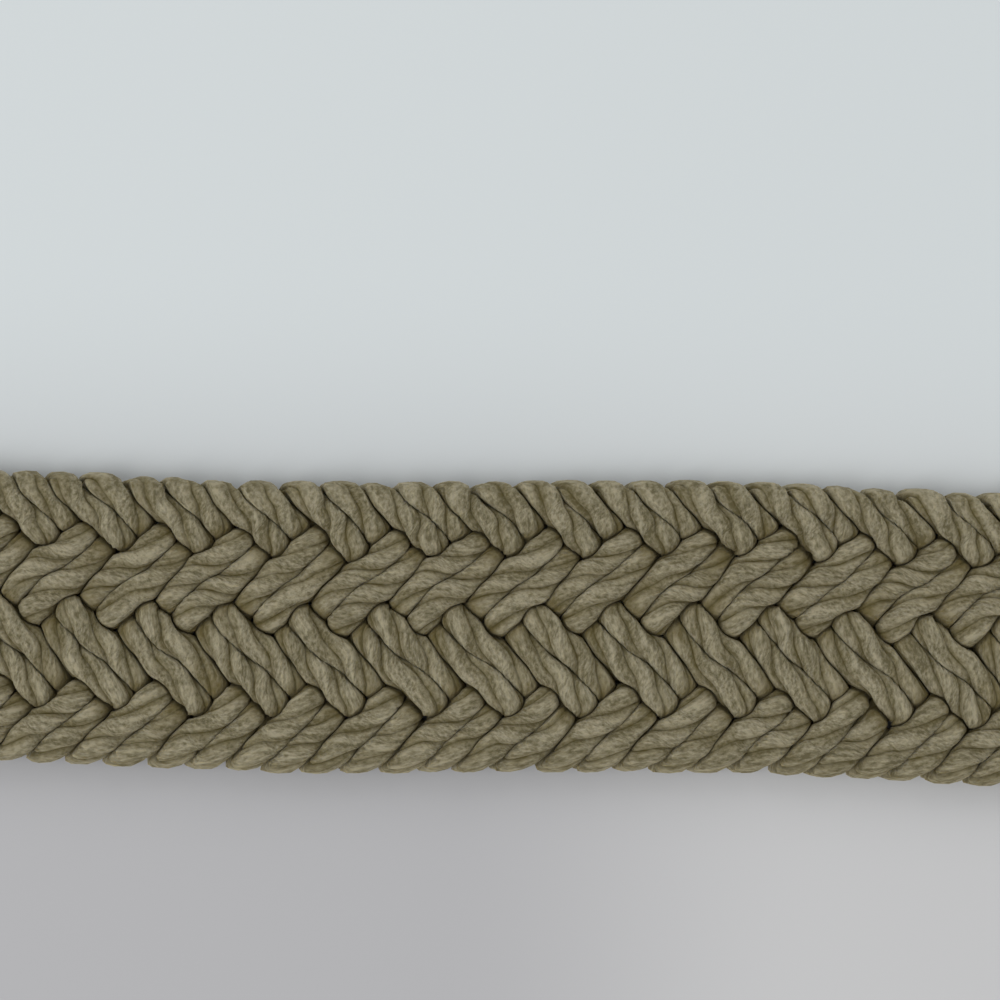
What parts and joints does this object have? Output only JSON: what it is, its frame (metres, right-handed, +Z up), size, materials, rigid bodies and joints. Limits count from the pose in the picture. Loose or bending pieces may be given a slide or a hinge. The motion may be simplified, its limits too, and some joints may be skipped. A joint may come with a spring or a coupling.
{
  "type": "braided stretch belt",
  "caption": "Flat waist belt braided from doubled twisted cords in a herringbone, laid out straight, with leather end tabs and a plain frame buckle.",
  "frame": {"origin": "on the resting surface, under the middle of the belt's whole length and width", "axes": "+X along the belt from the buckle to the tip, +Y across it, +Z up out of the face that shows"},
  "size_m": [0.949, 0.046, 0.0074],
  "materials": {
    "braid_cord": "matt olive-khaki twisted cord with a soft fibre sheen",
    "tab_leather": "dark brown leather, semi-matt, with a fine grain",
    "buckle_metal": "satin nickel-plated cast metal"
  },
  "bodies": {
    "root": {"braid": "braid_cord", "tip_tab": "tab_leather", "buckle_tab": "tab_leather", "buckle": "buckle_metal"}
  },
  "joints": []
}
